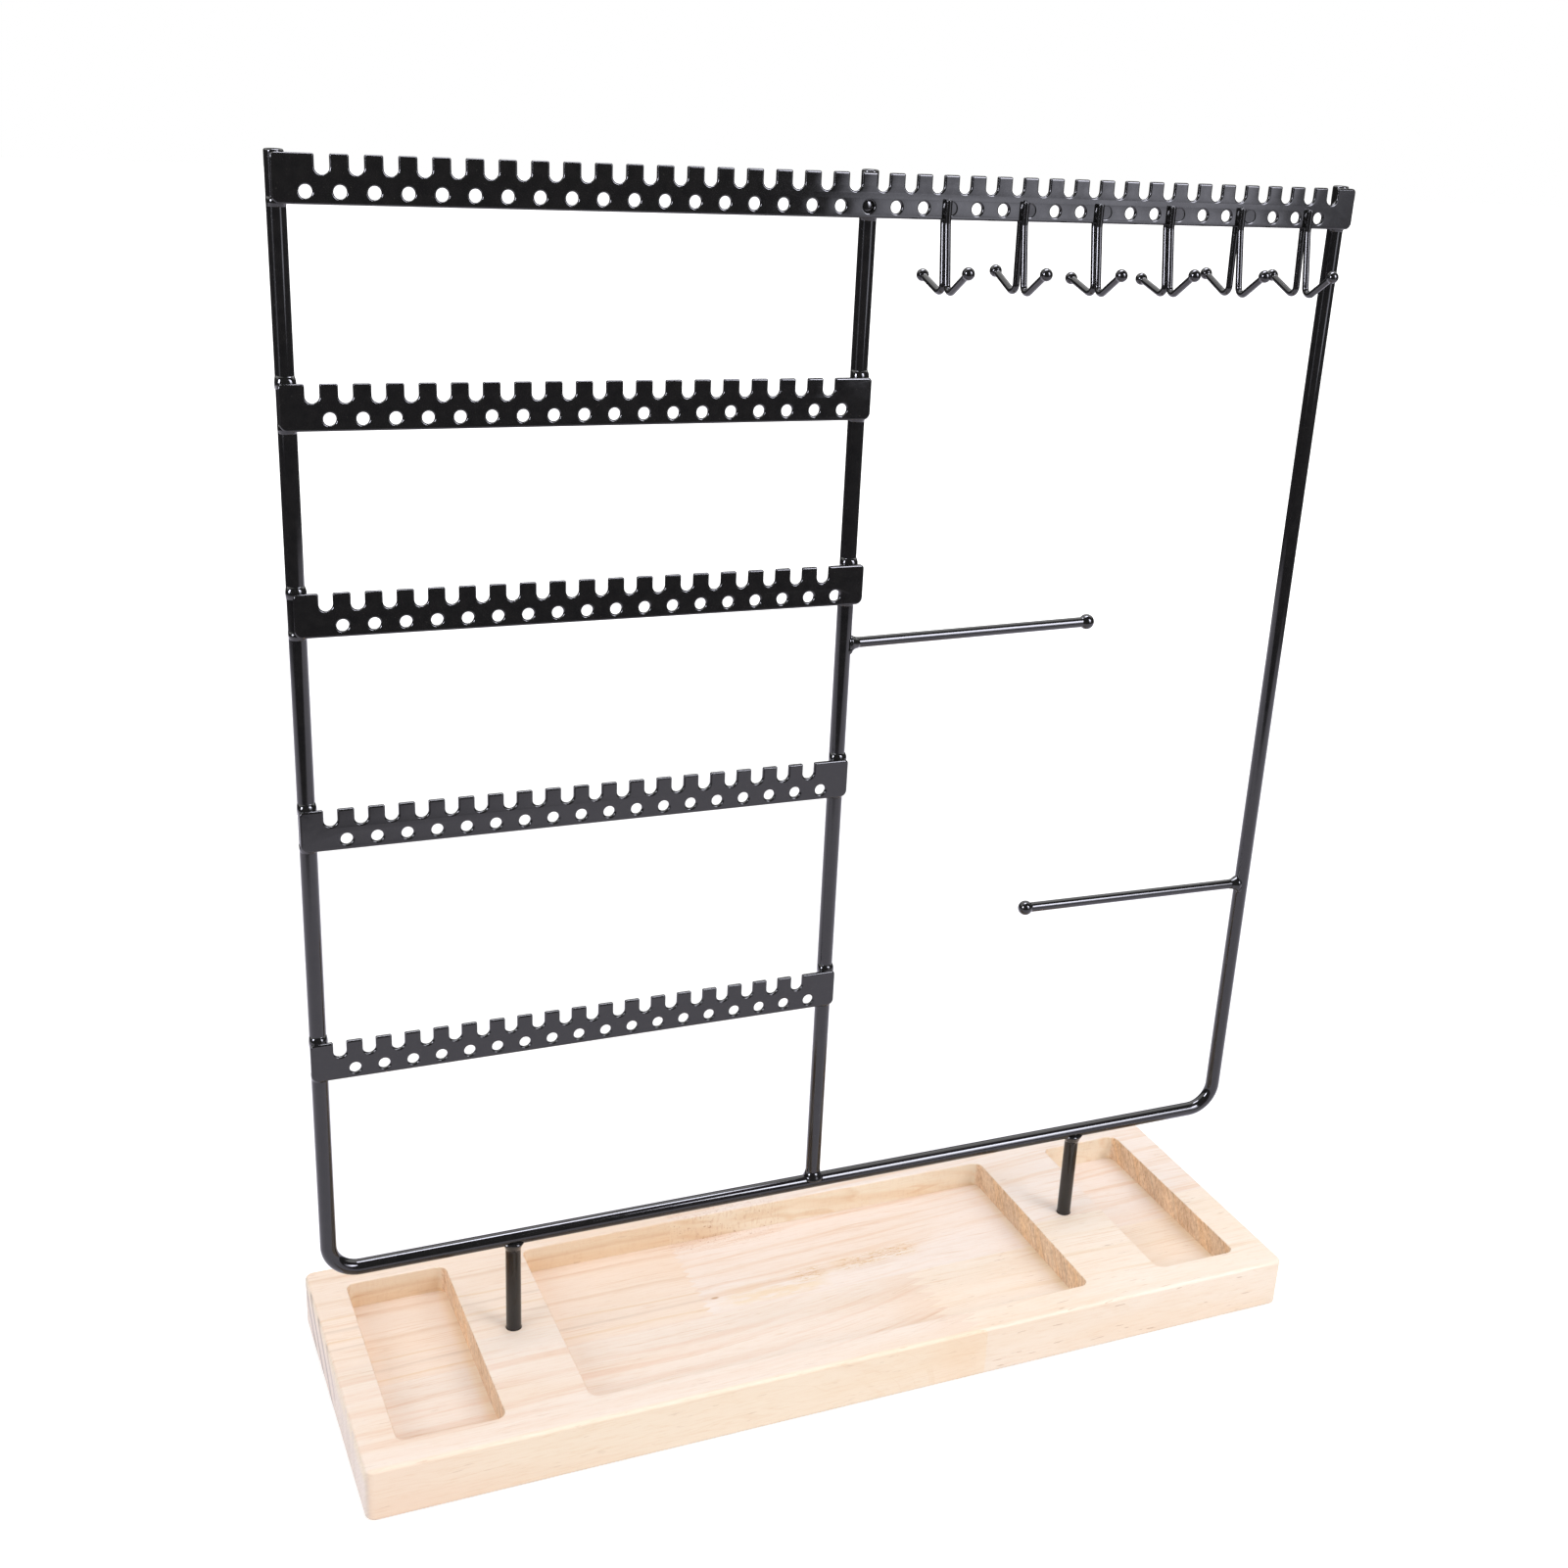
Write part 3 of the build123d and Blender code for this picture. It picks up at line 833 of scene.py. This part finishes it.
def weld_fillet(shape, centre, along, rod, profile, seed, side=None):
    """A weld fillet round a rod: a profile of (distance, radius) in millimetres.

    The seed places its waves. With a side, the weld stays on that side of the rod
    and sinks into it behind.
    """
    before = set(shape.verts)
    closed = [(profile[0][0], 0.0)] + profile + [(profile[-1][0], 0.0)]
    turn_profile(shape, [(radius * mm, reach * mm) for reach, radius in closed], 32)
    turn = along.to_track_quat("Z", "Y").to_matrix()
    for vert in [vert for vert in shape.verts if vert not in before]:
        spot = turn @ vert.co
        reach = spot.dot(along)
        out = spot - along * reach
        if out.length > 0.01 * mm:
            angle = math.atan2(vert.co.y, vert.co.x)
            wave = 1 + 0.10 * math.sin(3 * angle + seed) + 0.07 * math.sin(5 * angle + 2 * seed)
            share = 1.0
            if side is not None:
                share = min(1.0, max(0.0, 0.30 + 1.1 * out.normalized().dot(side)))
            sunk = 0.06 * mm * (1 - share)
            extra = (out.length - rod) * wave * share - sunk
            if out.length > 0.8 * rod:
                out = out.normalized() * (rod + extra)
        vert.co = centre + along * reach + out


def weld_bead(shape, centre, sizes):
    """A smooth bead of weld metal; its half sizes along X, Y and Z are in millimetres."""
    place = Matrix.Translation(centre) @ Matrix.Diagonal((*(size * mm for size in sizes), 1.0))
    bmesh.ops.create_uvsphere(shape, u_segments=20, v_segments=12, radius=1.0, matrix=place)


def rail_welds():
    """Welds under each rail and over the earring rails, on the front of the uprights.

    A plug of weld also fills the back of the top rail's hole at the centre upright.
    """
    shape = bmesh.new()
    under = [(-1.6, 3.0), (0.0, 2.92), (0.2, 2.78), (0.5, 2.67), (0.9, 2.59)]
    over = [(-1.6, 3.30), (0.0, 3.35), (0.7, 3.25), (1.3, 3.00), (1.9, 2.62)]
    seed = 0.4
    for row in range(row_count):
        low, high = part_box("earring_rail_%d" % (row + 1))
        for x in (-upright_x, 0.0):
            weld_fillet(shape, Vector((x, frame_y, low.z)), -Z, rod_radius, under, seed, -Y)
            weld_fillet(shape, Vector((x, frame_y, high.z)), Z, rod_radius, over, seed + 1, -Y)
            seed += 2.3
    low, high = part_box("top_rail")
    for x in (-upright_x, 0.0, upright_x):
        weld_fillet(shape, Vector((x, frame_y, low.z)), -Z, rod_radius, under, seed, -Y)
        seed += 1.7
    plug = Vector((-1.5 * mm, high.y - 0.45 * mm, low.z + hole_above_edge))
    weld_bead(shape, plug, (1.75, 0.6, 1.75))
    finish_piece("rail_welds", shape)


def frame_welds():
    """Welds at the foot of the centre upright, at the posts and at the arms."""
    shape = bmesh.new()
    foot = [(1.2, 3.75), (1.9, 3.70), (2.5, 3.35), (3.3, 2.95), (4.6, 2.61)]
    weld_fillet(shape, Vector((0, frame_y, bar_z)), Z, rod_radius, foot, 0.7)
    for name, seed in (("left_post", 1.9), ("right_post", 4.1)):
        low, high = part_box(name)
        top = Vector(((low.x + high.x) / 2, frame_y, bar_z))
        weld_fillet(shape, top, -Z, rod_radius, foot, seed)
    root = [(1.6, 2.75), (2.5, 2.75), (3.0, 2.60), (3.6, 2.25), (4.4, 1.95), (5.4, 1.76)]
    for name, facing, seed in (("upper_arm", X, 0.9), ("lower_arm", -X, 2.6)):
        start, _ = arm_line(name)
        weld_fillet(shape, start, facing, arm_radius, root, seed)
        drip = start + facing * 1.7 * mm + Vector((0, -1.3, -1.7)) * mm
        weld_bead(shape, drip, (1.25, 1.35, 1.75))
    finish_piece("frame_welds", shape)


def hook_welds():
    """Thin welds between the hook wires and the top rail, and weld in five of its holes."""
    shape = bmesh.new()
    low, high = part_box("top_rail")
    thin_bead = (1.50, 0.55, 2.7)
    for number in range(hook_count):
        x = first_hook_x + hook_pitch * number
        height = low.z + 3.4 * mm + 0.3 * mm * math.sin(1.7 * number)
        weld_bead(shape, Vector((x + 0.1 * mm, low.y - 0.15 * mm, height)), thin_bead)
        weld_bead(shape, Vector((x + rear_hook_shift, high.y + 0.15 * mm, height)), thin_bead)
    plug_radius = hole_radius + 0.2 * mm
    plug_depth = 0.76 * (high.y - low.y)
    plug = (low + high) / 2
    plug.z = low.z + hole_above_edge
    for number in filled_holes:
        plug.x = low.x + top_first_hole + hole_pitch * number
        turn = Matrix.Rotation(math.radians(90 + 1.3 * math.sin(number)), 4, "X")
        bmesh.ops.create_cone(shape, cap_ends=True, segments=24, radius1=plug_radius,
                              radius2=plug_radius, depth=plug_depth,
                              matrix=Matrix.Translation(plug) @ turn)
    keep_flats(finish_piece("hook_welds", shape), 60.0)


frame_rods()
stamped_rail("top_rail", top_first_hole, top_last_hole, 1)
for row in range(row_count):
    stamped_rail("earring_rail_%d" % (row + 1), row_first_hole, row_last_hole, -1)
bracelet_arms()
for number in range(hook_count):
    hook(number, "front")
    hook(number, "rear")
rail_welds()
frame_welds()
hook_welds()

for name, material in (("base_board", wood), ("post_screws", zinc), ("post_washers", zinc)):
    node = frame["nodes"][name]
    node.data.materials.clear()
    node.data.materials.append(material)


# Studio

def flat_sheet(name, size):
    """A square sheet that reaches a size to each side of its middle."""
    shape = bmesh.new()
    bmesh.ops.create_grid(shape, x_segments=1, y_segments=1, size=size)
    mesh = bpy.data.meshes.new(name)
    shape.to_mesh(mesh)
    shape.free()
    return add_object(name, mesh)


def studio_floor():
    """A white table that keeps a faint shadow; reflections see where it ends."""
    floor = flat_sheet("studio_floor", 6.0)
    floor.location.z = -0.02 * mm
    table = Recipe(bpy.data.materials.new("white_table"))
    seen, reflected = table.rays()
    radius = table.distance(table.x, table.y)
    matte = table.nodes.new("ShaderNodeBsdfDiffuse")
    table.put(matte.inputs["Color"], (0.80, 0.80, 0.80))
    far = table.sum("MULTIPLY_ADD", table.rise(radius, 350.0, 1300.0), 0.62, 0.38)
    glow = table.light("Emission", clear, table.times(far, seen))
    paper = table.nodes.new("ShaderNodeAddShader")
    table.put(paper.inputs[0], matte.outputs["BSDF"])
    table.put(paper.inputs[1], glow)

    # Reflections see a bright table, from a line before the stand to its round far edge.
    depth = table.sum("ADD", table.times(table.x, 0.426), table.times(table.y, 0.905))
    bright = table.times(table.rise(depth, -640.0, -440.0), table.rise(radius, 1150.0, 850.0))
    bright = table.sum("MULTIPLY_ADD", bright, 1.46, 0.09)
    mirror = table.light("Emission", (0.90, 0.87, 1.0), bright)
    table.put(table.surface, table.blend(reflected, paper.outputs["Shader"], mirror))
    floor.data.materials.append(table.owner)


def studio_world():
    """White to the eye, level light on the stand, and a dark room to its reflections."""
    world = bpy.data.worlds.new("studio")
    bpy.context.scene.world = world
    room = Recipe(world, "ShaderNodeOutputWorld", "Generated", 1.0)
    ceiling = room.times(room.rise(room.z, 0.25, 0.55), 1.9)
    ceiling = room.sum("MULTIPLY_ADD", ceiling, room.rise(room.y, -0.10, 0.20), 0.09)
    seen, reflected = room.rays()
    white = room.light("Background", clear, 1.0)
    fill = room.light("Background", clear, 0.63)
    dark = room.light("Background", ceiling, 1.0)
    room.put(room.surface, room.blend(seen, room.blend(reflected, fill, dark), white))


def soft_lamp(name, place, target, width, height, watts):
    """A soft box that points at a spot and doesn't show in the coating."""
    lamp = bpy.data.lights.new(name, "AREA")
    lamp.shape = "RECTANGLE"
    lamp.size = width
    lamp.size_y = height
    lamp.energy = watts
    holder = add_object(name, lamp)
    place = Vector(place)
    aim = (Vector(target) - place).to_track_quat("-Z", "Y").to_matrix().to_4x4()
    holder.matrix_world = Matrix.Translation(place) @ aim
    holder.visible_glossy = False


def reflected_card(name, place, turn, width, height, brightness):
    """A lit card that only the coating mirrors; brightness(cloth) says how bright it is.

    On the cloth, X and Y go from -500 at one edge of the card to 500 at the other.
    """
    card = flat_sheet(name, 0.5)
    size = Matrix.Diagonal((width, height, 1.0, 1.0))
    card.matrix_world = Matrix.Translation(place) @ turn @ size
    cloth = Recipe(bpy.data.materials.new(name + "_cloth"))
    cloth.put(cloth.surface, cloth.light("Emission", (0.87, 0.875, 1.0), brightness(cloth)))
    card.data.materials.append(cloth.owner)
    card.visible_camera = False
    card.visible_diffuse = False
    card.visible_transmission = False
    card.visible_shadow = False


def key_cloth(cloth):
    """The key softbox: a bright front over a dim, uneven skirt that fades to the right."""
    skirt = cloth.sum("MULTIPLY_ADD", cloth.rise(cloth.y, -405.0, -380.0), 1.3, 2.4)
    skirt = cloth.sum("MULTIPLY_ADD", cloth.rise(cloth.y, -370.0, -350.0), -1.8, skirt)
    hem = cloth.rise(cloth.y, -497.0, -455.0)
    strip = cloth.sum("MULTIPLY_ADD", cloth.between(cloth.y, -480.0, -428.0, 8.0), 0.7, 1.0)
    fade = cloth.sum("MULTIPLY_ADD", cloth.rise(cloth.x, 290.0, 110.0), 0.70, 0.30)
    folds = cloth.rise(cloth.noise((0.022, 0.022, 0.022), 3.0, 0.6), 0.35, 0.65)
    folds = cloth.sum("MULTIPLY_ADD", folds, 0.44, 0.78)
    skirt = cloth.times(skirt, hem, strip, fade, folds)
    front = cloth.times(cloth.between(cloth.y, -305.0, 430.0, 45.0), 9.0)
    middle = cloth.times(cloth.between(cloth.y, -100.0, 430.0, 45.0), 17.0)
    front = cloth.sum("ADD", front, middle)
    wide = cloth.between(cloth.x, -440.0, 440.0, 60.0)
    return cloth.times(wide, cloth.sum("ADD", skirt, front))


def window_cloth(strength, low, skirt):
    """A bright window above a height on the card, and a dim skirt below it."""
    def brightness(cloth):
        wide = cloth.between(cloth.x, -440.0, 440.0, 60.0)
        window = cloth.times(cloth.between(cloth.y, low, 440.0, 60.0), strength)
        return cloth.times(wide, cloth.sum("ADD", window, skirt))
    return brightness


def product_camera():
    """The photograph's view: from the left front, looking down a little."""
    azimuth = math.radians(25.213)
    elevation = math.radians(21.639)
    roll = math.radians(3.505)
    place = Vector((-250.427, -543.327, 433.309)) * mm
    camera = bpy.data.cameras.new("product_camera")
    camera.sensor_width = 36.0
    camera.lens = 44.342
    camera.shift_x = -0.04131
    camera.shift_y = 0.02310
    camera.clip_start = 0.01
    camera.dof.use_dof = False
    holder = add_object("product_camera", camera)
    aim = Matrix.Rotation(-azimuth, 4, "Z") @ Matrix.Rotation(math.pi / 2 - elevation, 4, "X")
    aim = aim @ Matrix.Rotation(roll, 4, "Z")
    holder.matrix_world = Matrix.Translation(place) @ aim
    bpy.context.scene.camera = holder


studio_floor()
studio_world()
upright = Matrix.Rotation(math.radians(90), 4, "X")
key_turn = Matrix.Rotation(math.radians(-4), 4, "Y") @ upright
left_turn = Matrix.Rotation(math.radians(-70), 4, "Z") @ upright
level = Matrix.Identity(4)
reflected_card("key_reflection", (0.70, -1.0, 0.785), key_turn, 0.66, 1.22, key_cloth)
reflected_card("left_reflection", (-0.92, -0.34, 0.535), left_turn, 0.29, 0.74,
               window_cloth(50.0, -190.0, 1.0))
reflected_card("top_reflection", (0.10, 0.26, 1.5), level, 0.85, 0.42,
               window_cloth(30.0, -440.0, 0.0))
soft_lamp("key_softbox", (0.70, -1.0, 0.90), (0, 0, 0.1), 0.64, 0.80, 8.7)
soft_lamp("left_softbox", (-1.3, -0.3, 0.9), (0, 0, 0.1), 0.7, 0.9, 5)
soft_lamp("top_softbox", (0, 0.1, 1.5), (0, 0, 0.0), 1.2, 0.9, 4.9)
product_camera()
bpy.context.scene.view_settings.view_transform = "Standard"
